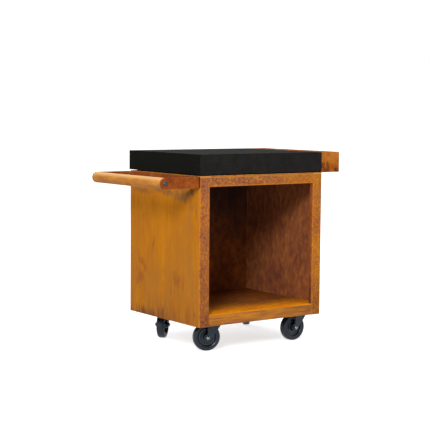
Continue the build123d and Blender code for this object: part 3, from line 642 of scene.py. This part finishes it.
# painted shade where the bracket lies against the side panel
groove_shade = band(tree, along(tree, "X"), X_LEFT - 0.007, X_LEFT - 0.002)
color = mix(tree, times(tree, groove_shade, GROOVE_SHADE_SHARE), color, GROOVE_SHADE)
# the bracket's pale edges are a painted highlight
finish_rust(tree, shader, color, edge_amount=0.3, seed=71.0, edge_color=PALE_WEAR_AND_HIGHLIGHT, bends=0.0)
dress(material, "handle_bracket")

# %% [markdown]
# ## The weld beads
# The sheets are welded. Outside, the seams are ground flush, but inside the herb box, under the roof and under the
# deck the beads are left as they were laid. A bevel on the seam would be too even: a bead is a row of overlapping
# puddles, so this one is a round strip, half sunk in the seam, whose thickness ripples along its length.

# %% New pieces from rings of points
def add_piece(name, mesh, finish, body):
    """A smooth piece with one finish, which rides on a body."""
    data = bpy.data.meshes.new(name)
    mesh.to_mesh(data)
    mesh.free()
    data.shade_smooth()
    data.materials.append(finish)
    piece = into_scene(name, data)
    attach(piece, body)
    return piece


def bridge(mesh, first, second):
    """A band of faces between two rings of points."""
    for at in range(len(first)):
        after = (at + 1) % len(first)
        mesh.faces.new((first[at], first[after], second[after], second[at]))


print("steps of a new piece: bridge, add_piece")

# %% A rippled bead
BEAD_RADIUS = 0.0028
PUDDLE = 0.0022  # from one ripple to the next
RINGS_PER_PUDDLE, BEAD_SIDES = 4, 10
TAPER, BLUNT_END = 0.004, 0.15  # length of a tapered end, and the share of the radius at its tip
RIPPLE = 0.14


def weld_bead(name, start, end, finish):
    """A rippled round strip along a seam, with tapered ends."""
    start, end = Vector(start), Vector(end)
    run = (end - start).normalized()
    side = run.orthogonal().normalized()
    up = run.cross(side)
    length = (end - start).length
    rings = max(8, int(length / PUDDLE * RINGS_PER_PUDDLE))
    angles = [2 * math.pi * step / BEAD_SIDES for step in range(BEAD_SIDES)]
    mesh = bmesh.new()
    loops = []
    for ring in range(rings + 1):
        at = length * ring / rings
        taper = min(1.0, at / TAPER + BLUNT_END, (length - at) / TAPER + BLUNT_END)
        radius = BEAD_RADIUS * taper * (1 - RIPPLE + RIPPLE * abs(math.sin(math.pi * at / PUDDLE)))
        spots = [start + run * at + (side * math.cos(a) + up * math.sin(a)) * radius for a in angles]
        loops.append([mesh.verts.new(spot) for spot in spots])
    for first, second in zip(loops, loops[1:]):
        bridge(mesh, first, second)
    mesh.faces.new(reversed(loops[0]))
    mesh.faces.new(loops[-1])
    return add_piece(name, mesh, finish, "cart")


bead_finish, tree, shader = start_finish("rusted_weld", Specular_IOR_Level=0.3)
finish_rust(tree, shader, rust_look(tree, SHADED, patch=30, mottle=120, seed=81.0), edge_amount=0.3, seed=81.0)
print(f"bead {BEAD_RADIUS * 2000:.1f} mm wide, ripples {PUDDLE * 1000:.1f} mm apart")

# %% Beads in the herb box, under the roof and under the deck
HALF_TACK = 0.025
ROOF_TACKS = (-0.18, 0.0, 0.18)  # places along the depth
RAIL_TACKS = (0.1, 0.3, 0.5, 0.7, 0.9)  # shares of a rail's length
ABOVE_FLOOR, BELOW_RIM = 0.003, 0.006
box_floor_top, inner_wall_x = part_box("box_floor")[1].z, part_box("box_inner_wall")[1].x
end_front, end_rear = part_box("box_front_end")[1].y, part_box("box_rear_end")[0].y
bead_lines = []
for x in (inner_wall_x, wall_low.x):
    for y in (end_front, end_rear):
        bead_lines.append(((x, y, box_floor_top + ABOVE_FLOOR), (x, y, wall_high.z - BELOW_RIM)))
for x in (X_LEFT + SHEET, X_RIGHT - SHEET):
    for y in ROOF_TACKS:
        bead_lines.append(((x, y - HALF_TACK, Z_ROOF - SHEET), (x, y + HALF_TACK, Z_ROOF - SHEET)))
for rail in ("front_caster_rail", "rear_caster_rail"):
    rail_low, rail_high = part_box(rail)
    for y in (rail_low.y, rail_high.y):
        for share in RAIL_TACKS:
            x = rail_low.x + (rail_high.x - rail_low.x) * share
            bead_lines.append(((x - HALF_TACK, y, rail_high.z), (x + HALF_TACK, y, rail_high.z)))
for number, (start, end) in enumerate(bead_lines):
    weld_bead(f"weld_bead_{number:02d}", start, end, bead_finish)
print(f"{len(bead_lines)} weld beads")

# %% [markdown]
# ## The stone worktop
# The top is black stone with a fine, matt surface, made of panels that meet in mitres. A plain black would do from
# afar, but black needs care: where it is glossy, it mirrors the white studio and turns grey. So the specular level is
# low, and faint pale specks tell the stone from paint. The front panel is a lighter copy of the stone, painted light
# for the brighter light on the front. A tiny bevel takes the knife edge off each panel.

# %% Black stone
def grey(level):
    """A neutral colour, for a ramp that carries a plain value."""
    return (level, level, level, 1.0)


SPECK = srgb(76, 75, 72)
GRAIN_TINTS, GRAIN_SHARE = [(0.35, grey(0.72)), (0.65, grey(1.30))], 0.7


def black_stone(name, dark, light, speck_amount):
    """Matt black stone with faint clouds, grain and fine pale specks."""
    material, tree, shader = start_finish(name, Specular_IOR_Level=0.05)
    clouds = noise(tree, 25, detail=5)
    specks = band(tree, noise(tree, 420, roughness=0.7), 0.54, 0.72)
    color = ramp(tree, clouds, [(0.35, dark), (0.65, light)])
    color = mix(tree, times(tree, specks, speck_amount), color, SPECK)
    grains = ramp(tree, noise(tree, 130, detail=5, roughness=0.7), GRAIN_TINTS)
    feed(tree, shader.inputs["Base Color"], tinted(tree, GRAIN_SHARE, color, grains))
    feed(tree, shader.inputs["Roughness"], band(tree, clouds, -1.0, 0.9))
    relief(tree, shader, noise(tree, 700, detail=3), strength=0.25, distance=0.0003)
    return material


honed = black_stone("black_stone", srgb(9, 9, 7), srgb(16, 16, 14), speck_amount=0.22)
dress(honed, "top_panel", "rear_edge_panel", "left_edge_panel", "right_edge_panel")
# the front panel is a lighter copy of the stone, painted light for the brighter light on the front
dress(black_stone("black_stone_painted_lit_front", srgb(24, 23, 22), srgb(32, 31, 30), speck_amount=0.45), "front_edge_panel")

# %% Softer edges on cut and pressed pieces
JOIN_WITHIN = 0.00001
SHARP_ANGLE = math.radians(40)


def soften_edges(width, *names):
    """Join each CAD mesh's split corners and round its sharp edges, as modifiers on top of the mesh."""
    for name in names:
        weld = nodes[name].modifiers.new("join_corners", "WELD")
        weld.merge_threshold = JOIN_WITHIN
        round_off = nodes[name].modifiers.new("round_edges", "BEVEL")
        round_off.width = width
        round_off.segments = 2
        round_off.limit_method = "ANGLE"
        round_off.angle_limit = SHARP_ANGLE
    print(f"edges rounded by {width * 1000:.1f} mm on {len(names)} pieces")


soften_edges(0.0006, "top_panel", "front_edge_panel", "rear_edge_panel", "left_edge_panel", "right_edge_panel")

# %% [markdown]
# ## The wooden push bar
# The bar is a turned round of honey-coloured hardwood, oiled and handled smooth. A picture of wood could be wrapped
# round it, but would show a seam and stop at the ends. Noise goes right through the bar instead, and because the
# grain runs along Y, it is drawn out that way. Dark pores are short dashes, and soft reddish flecks break up the
# colour. Its upper side is lightened as a painted highlight, and its underside is darkened as painted shade.

# %% Oiled hardwood
HONEY = tones((0.32, 154, 91, 30), (0.5, 183, 117, 40), (0.68, 206, 140, 58))
FLECK, PORE, BAR_TOP_HIGHLIGHT = srgb(158, 90, 38), srgb(122, 72, 30), srgb(230, 182, 116)
BAR_UNDERSIDE_SHADE_TINT = (0.66, 0.56, 0.42, 1.0)
FLECK_SHARE, PORE_SHARE, BAR_UNDERSIDE_SHADE_SHARE, BAR_TOP_HIGHLIGHT_SHARE = 0.7, 0.35, 0.8, 0.65
bar_low, bar_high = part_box("handle_bar")
bar_middle = (bar_low.z + bar_high.z) / 2
material, tree, shader = start_finish("oiled_hardwood", Specular_IOR_Level=0.12)
figure = noise(tree, 30, (1, 0.30, 1), detail=5, roughness=0.55)
flecks = band(tree, noise(tree, 26, (1, 0.45, 1), detail=5, roughness=0.55, shift=4.0), 0.54, 0.74)
color = mix(tree, times(tree, flecks, FLECK_SHARE), ramp(tree, figure, HONEY), FLECK)
pores = band(tree, noise(tree, 700, (1, 0.05, 1), detail=2), 0.62, 0.74)
color = mix(tree, times(tree, pores, PORE_SHARE), color, PORE)
# painted light: the underside is darkened as painted shade and the upper side lightened as a painted highlight
rise = along(tree, "Z")
below = times(tree, band(tree, rise, bar_middle + 0.004, bar_low.z + 0.004), BAR_UNDERSIDE_SHADE_SHARE)
color = tinted(tree, below, color, BAR_UNDERSIDE_SHADE_TINT)
above = times(tree, band(tree, rise, bar_middle + 0.006, bar_high.z - 0.001), BAR_TOP_HIGHLIGHT_SHARE)
feed(tree, shader.inputs["Base Color"], mix(tree, above, color, BAR_TOP_HIGHLIGHT))
feed(tree, shader.inputs["Roughness"], band(tree, figure, -0.5, 1.3))
relief(tree, shader, combine(tree, "SUBTRACT", figure, pores), strength=0.15, distance=0.0003)
dress(material, "handle_bar")

# %% [markdown]
# ## The core under the stone
# A board and a ladder frame carry the stone, and black strips hold it off the roof. Little of this shows, so it could
# stay plain, but the strips line the shadow gap and the part may be seen from below. Two simple finishes are enough.

# %% Core boards and spacer strips
material, tree, shader = start_finish("core_wood", Specular_IOR_Level=0.3, Roughness=0.7)
layers = noise(tree, 60, (0.05, 1, 1))
feed(tree, shader.inputs["Base Color"], ramp(tree, layers, tones((0.3, 168, 132, 90), (0.7, 206, 172, 126))))
relief(tree, shader, layers, strength=0.2, distance=0.0004)
dress(material, "core_board", "core_frame")

material, tree, shader = start_finish("black_spacer", Specular_IOR_Level=0.2, Roughness=0.8)
scuffs = noise(tree, 120, detail=5)
feed(tree, shader.inputs["Base Color"], ramp(tree, scuffs, tones((0.4, 12, 12, 13), (0.7, 30, 30, 31))))
relief(tree, shader, scuffs, strength=0.1, distance=0.0003)
dress(material, "spacer_strips")

# %% [markdown]
# ## Bolts and other hardware
# The handle's bolts are blackened steel, and so are the axles. Nuts and screws out of sight are zinc plated, and the
# balls and sleeves of the casters are polished. Metal could have scratches painted on, but it gets its look from what
# it mirrors, so it needs few layers: a base tint, and a polish that varies.

# %% Plated and blackened steel
POLISH_SPREAD = 0.08


def uneven_polish(tree, shader, pattern, middle):
    """Roughness that varies round a middle value with a pattern."""
    spread = ramp(tree, pattern, [(0.3, grey(middle - POLISH_SPREAD)), (0.7, grey(middle + POLISH_SPREAD))])
    feed(tree, shader.inputs["Roughness"], spread)


def plated_steel(name, dark, light, polish):
    """Metal with faint blotches in its tint and its polish."""
    material, tree, shader = start_finish(name, Metallic=1.0)
    blotches = noise(tree, 260, detail=5, roughness=0.6)
    feed(tree, shader.inputs["Base Color"], ramp(tree, blotches, [(0.35, dark), (0.65, light)]))
    uneven_polish(tree, shader, blotches, polish)
    relief(tree, shader, noise(tree, 900, detail=2), strength=0.08, distance=0.0002)
    return material


CORNERS = ("front_left", "front_right", "rear_left", "rear_right")
blackened = plated_steel("blackened_steel", srgb(44, 50, 56), srgb(72, 82, 90), polish=0.38)
dress(blackened, "handle_end_bolts", "bracket_bolts")
axle_finish = plated_steel("dark_axle_steel", srgb(40, 46, 50), srgb(70, 78, 80), polish=0.16)
dress(axle_finish, *[f"{corner}_axle" for corner in CORNERS])
zinc = plated_steel("zinc_plate", srgb(150, 152, 156), srgb(196, 198, 200), polish=0.38)
dress(zinc, "handle_inserts", "bracket_nuts", "worktop_screws", "tongue_screws")
dress(zinc, "plate_bolts", "plate_nuts", "king_bolts")
bearing = plated_steel("bearing_steel", srgb(176, 176, 180), srgb(210, 210, 212), polish=0.22)
dress(bearing, *[f"{corner}_{piece}" for corner in CORNERS for piece in ("balls", "sleeve")])

# %% [markdown]
# ## The casters
# The forks and plates are pressed steel with a dark slate powder coat, the wheels are moulded plastic, and the tyres
# are rubber with road dust in their pores. One black could serve for all three, but then they would look like one
# piece. All are nearly black, so their gloss tells them apart: the plastic is the smoothest of them, and the coat and
# the rubber have a rougher grain. The CAD wheels and tyres are dressed too, though turned ones stand for them below.

# %% Powder coat, wheel plastic and rubber
COOL = (0.78, 0.87, 1.0, 1.0)  # tint of the gloss


def black_finish(name, dark, light, gloss, pebble, height, mirror):
    """A near-black moulded or coated surface, with dust in its hollows. Gloss goes from 0 to 1."""
    material, tree, shader = start_finish(name, Specular_IOR_Level=mirror, Specular_Tint=COOL)
    dust = noise(tree, 40, detail=6, roughness=0.65)
    feed(tree, shader.inputs["Base Color"], ramp(tree, dust, [(0.38, dark), (0.72, light)]))
    uneven_polish(tree, shader, dust, 1 - gloss)
    relief(tree, shader, noise(tree, pebble, detail=3), strength=height, distance=0.0003)
    return material


fork_names = [f"{corner}_fork" for corner in CORNERS]
coat = black_finish(
    "slate_powder_coat", srgb(24, 34, 40), srgb(38, 49, 57), gloss=0.55, pebble=800, height=0.2, mirror=0.35
)
dress(coat, "caster_plates", *fork_names)
soften_edges(0.0008, "caster_plates", *fork_names)
plastic = black_finish(
    "black_wheel_plastic", srgb(6, 9, 16), srgb(16, 20, 30), gloss=0.70, pebble=500, height=0.06, mirror=0.5
)
dress(plastic, *[f"{corner}_wheel" for corner in CORNERS])
rubber = black_finish(
    "black_tyre_rubber", srgb(10, 13, 21), srgb(24, 29, 39), gloss=0.55, pebble=650, height=0.2, mirror=0.38
)
dress(rubber, *[f"{corner}_tyre" for corner in CORNERS])

# %% [markdown]
# ## Turned wheels and tyres
# The real wheel is moulded: it has a hub with a chamfer, a thin web with a raised ring, and a rim with a sloped flank.
# The tyre has round shoulders and two fine rings on each sidewall. A Screw modifier could turn such an outline, but a
# lathe in code closes the form and sits on the joint's own axis. The outline is in millimetres, as (distance along the
# axle, radius), and only half of it is written, because it is symmetric.

# %% Turn an outline about an axle
TURN_STEPS = 120
CREASE_ANGLE = math.radians(50)
MILLIMETRES = 1000  # in a metre
SAME_POINT = 0.0000005


def turned_piece(name, joint, half_outline, finish, body, stands_for, radius_at=lambda radius, angle: radius):
    """A closed form turned about a joint's axis from half an outline, which runs from the inside out to the middle."""
    centre, axle = Vector(joint["pos_m"]), Vector(joint["axis"]).normalized()
    up = Vector((0.0, 0.0, 1.0))
    ahead = axle.cross(up)
    outline = half_outline + [(-x, r) for x, r in reversed(half_outline)]
    mesh = bmesh.new()
    rings = []
    for step in range(TURN_STEPS):
        angle = 2 * math.pi * step / TURN_STEPS
        out = up * math.cos(angle) + ahead * math.sin(angle)
        spots = [centre + (axle * x + out * radius_at(r, angle)) / MILLIMETRES for x, r in outline]
        rings.append([mesh.verts.new(spot) for spot in spots])
    for first, second in zip(rings, rings[1:] + rings[:1]):
        bridge(mesh, first, second)
    bmesh.ops.remove_doubles(mesh, verts=mesh.verts[:], dist=SAME_POINT)
    bmesh.ops.recalc_face_normals(mesh, faces=mesh.faces[:])
    piece = add_piece(name, mesh, finish, body)
    piece.data.set_sharp_from_angle(angle=CREASE_ANGLE)
    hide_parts(stands_for)
    return piece


print(f"turned pieces have {TURN_STEPS} steps round")

# %% Outlines of the wheel and the tyre
WHEEL_OUTLINE = [
    (21.0, 8.1), (21.0, 15.6), (20.6, 16.4), (19.8, 17.0), (8.0, 17.4), (6.4, 17.9), (5.4, 18.9), (5.0, 20.2),
    (5.0, 26.8), (5.3, 27.4), (6.2, 27.9), (6.2, 29.6), (5.3, 30.1), (5.0, 30.7), (5.0, 36.6), (5.4, 38.2),
    (6.4, 39.3), (8.0, 39.8), (13.6, 40.0), (14.3, 40.3), (16.4, 45.0), (16.9, 45.6), (17.0, 46.0),
]
SHOULDER, FLANK, TREAD_RADIUS = 11.0, 19.0, 62.5
SHOULDER_TURNS = [math.radians(9 * step) for step in range(1, 11)]
TYRE_OUTLINE = [
    (17.0, 46.05), (18.2, 46.2), (18.8, 46.7), (18.9, 47.5), (18.4, 48.0), (18.4, 48.6), (18.9, 49.1), (18.9, 49.9),
    (18.4, 50.4), (18.4, 50.9), (FLANK, 51.5),
]
for turn in SHOULDER_TURNS:
    across, out = SHOULDER * math.cos(turn), SHOULDER * math.sin(turn)
    TYRE_OUTLINE.append((FLANK - SHOULDER + across, TREAD_RADIUS - SHOULDER + out))
TYRE_OUTLINE.append((4.0, TREAD_RADIUS))
for corner in CORNERS:
    roll, body = joints[f"{corner}_roll"], f"{corner}_wheel_set"
    wheel, tyre = f"{corner}_wheel", f"{corner}_tyre"
    turned_piece(f"{corner}_turned_wheel", roll, WHEEL_OUTLINE, plastic, body, wheel)
    turned_piece(f"{corner}_turned_tyre", roll, TYRE_OUTLINE, rubber, body, tyre)
print(f"outlines: wheel {len(WHEEL_OUTLINE)} points, tyre {len(TYRE_OUTLINE)} points")

# %% [markdown]
# ## Axles with cap nuts
# Each axle ends in a blackened cap nut: a hexagon with a dome on it, over a washer. The dome is rubbed bright, and it
# catches the lamp as one small spot. A nut could be cut from a cylinder, but the same lathe makes it with one change:
# where the outline is the hexagon's, the radius follows six flats instead of a circle.

# %% Turn the axles
NUT_FLAT = 9.0  # from the axle to a flat
NUT_RADII = (8.5, 11.0)  # radii of the outline that belong to the hexagon
DOME_START = 0.0332  # metres along the axle from the middle of the wheel
AXLE_OUTLINE = [
    (37.5, 0.0), (37.4, 1.4), (37.1, 2.8), (36.6, 4.2), (35.9, 5.5), (35.0, 6.7), (34.0, 7.6), (33.2, 8.2), (32.9, 9.0),
    (32.2, 10.4), (28.5, 10.4), (28.5, 11.7), (28.2, 12.0), (26.3, 12.0), (26.0, 11.7), (26.0, 6.0), (0.0, 6.0),
]


def hexagon(radius, angle):
    """The radius of the outline, kept inside six flats where it belongs to the hexagon."""
    if not NUT_RADII[0] < radius < NUT_RADII[1]:
        return radius
    off_flat = (angle + math.pi / 6) % (math.pi / 3) - math.pi / 6
    return min(radius, NUT_FLAT / math.cos(off_flat))


dome_finish = plated_steel("worn_axle_dome", srgb(92, 104, 106), srgb(128, 140, 140), polish=0.30)
for corner in CORNERS:
    roll, body = joints[f"{corner}_roll"], f"{corner}_caster"
    axle = turned_piece(
        f"{corner}_turned_axle", roll, AXLE_OUTLINE, axle_finish, body, f"{corner}_axle", hexagon
    )
    axle.data.materials.append(dome_finish)
    middle, direction = Vector(roll["pos_m"]), Vector(roll["axis"]).normalized()
    for face in axle.data.polygons:
        if abs((face.center - middle).dot(direction)) > DOME_START:
            face.material_index = 1
print(f"{len(CORNERS)} axles, nuts {2 * NUT_FLAT:.0f} mm across flats")

# %% [markdown]
# ## The studio
# A rusted surface shows its colour best in soft light from all round. One strong lamp would do, but with hard, dark
# shadows. So the white surroundings light every side, and a soft lamp at the front left shapes the faces and lays the
# push bar's shadow on the panel. A wide lamp overhead and weak ones behind and at the front right lift the rest.
# The camera and the reflections see the surroundings as plain white, and the floor keeps the table's shadow.

# %% White surroundings
WHITE = (1.0, 1.0, 1.0, 1.0)
FILL_LIGHT = 0.44


def in_view(tree):
    """1 for what the camera sees, straight, in a reflection or through glass, and 0 for what only gives light."""
    rays = add(tree, "ShaderNodeLightPath").outputs
    mirrored = combine(tree, "MAXIMUM", rays["Is Glossy Ray"], rays["Is Transmission Ray"])
    return combine(tree, "MAXIMUM", rays["Is Camera Ray"], mirrored)


world = bpy.data.worlds.new("white_surroundings")
bpy.context.scene.world = world
world.use_nodes = True
tree = world.node_tree
lighting = tree.nodes["Background"]
lighting.inputs["Color"].default_value = WHITE
lighting.inputs["Strength"].default_value = FILL_LIGHT
seen = add(tree, "ShaderNodeBackground", {"Color": WHITE, "Strength": 1.0})
choice = add(tree, "ShaderNodeMixShader", {0: in_view(tree), 1: lighting.outputs[0], 2: seen.outputs[0]})
feed(tree, tree.nodes["World Output"].inputs["Surface"], choice.outputs[0])
print(f"surroundings light the table at {FILL_LIGHT}")

# %% Soft lamps
def soft_lamp(name, place, aim, size, power):
    """A square lamp that faces a point."""
    data = bpy.data.lights.new(name, "AREA")
    data.size = size
    data.energy = power
    lamp = into_scene(name, data)
    lamp.location = place
    lamp.rotation_euler = (Vector(aim) - Vector(place)).to_track_quat("-Z", "Y").to_euler()
    print(f"{name}: {size} m wide, {power} W")


soft_lamp("front_left_lamp", (-5.6, -4.9, 4.4), aim=(0.0, 0.0, 0.6), size=2.1, power=412)
soft_lamp("top_lamp", (0.1, -0.3, 3.6), aim=(0.05, 0.0, 0.8), size=2.2, power=40)
soft_lamp("rear_lamp", (0.5, 6.0, 2.8), aim=(0.05, 0.0, 0.5), size=3.0, power=90)
soft_lamp("front_right_lamp", (2.2, -3.9, 1.4), aim=(0.05, 0.0, 0.6), size=1.6, power=22)

# %% Pale floor
FLOOR_SIZE = 60.0
NEAR_GLOW, FAR_GLOW = 0.66, 0.84  # seen in the picture and in reflections, but lights nothing else
NEAR, FAR = 1.0, 4.0  # metres from the table
half = FLOOR_SIZE / 2
floor_mesh = bpy.data.meshes.new("floor")
floor_mesh.from_pydata([(-half, -half, 0), (half, -half, 0), (half, half, 0), (-half, half, 0)], [], [(0, 1, 2, 3)])
floor = into_scene("floor", floor_mesh)
material, tree, shader = start_finish("pale_floor", Roughness=0.9, Specular_IOR_Level=0.1, Emission_Color=WHITE)
pale = ramp(tree, noise(tree, 6), tones((0.3, 238, 238, 238), (0.7, 242, 242, 242)))
feed(tree, shader.inputs["Base Color"], pale)
away = on_vectors(tree, "LENGTH", here(tree), result="Value")
further = times(tree, band(tree, away, NEAR, FAR), FAR_GLOW - NEAR_GLOW)
glow = combine(tree, "ADD", further, NEAR_GLOW)
feed(tree, shader.inputs["Emission Strength"], times(tree, in_view(tree), glow))
floor_mesh.materials.append(material)
print(f"floor {FLOOR_SIZE} m")
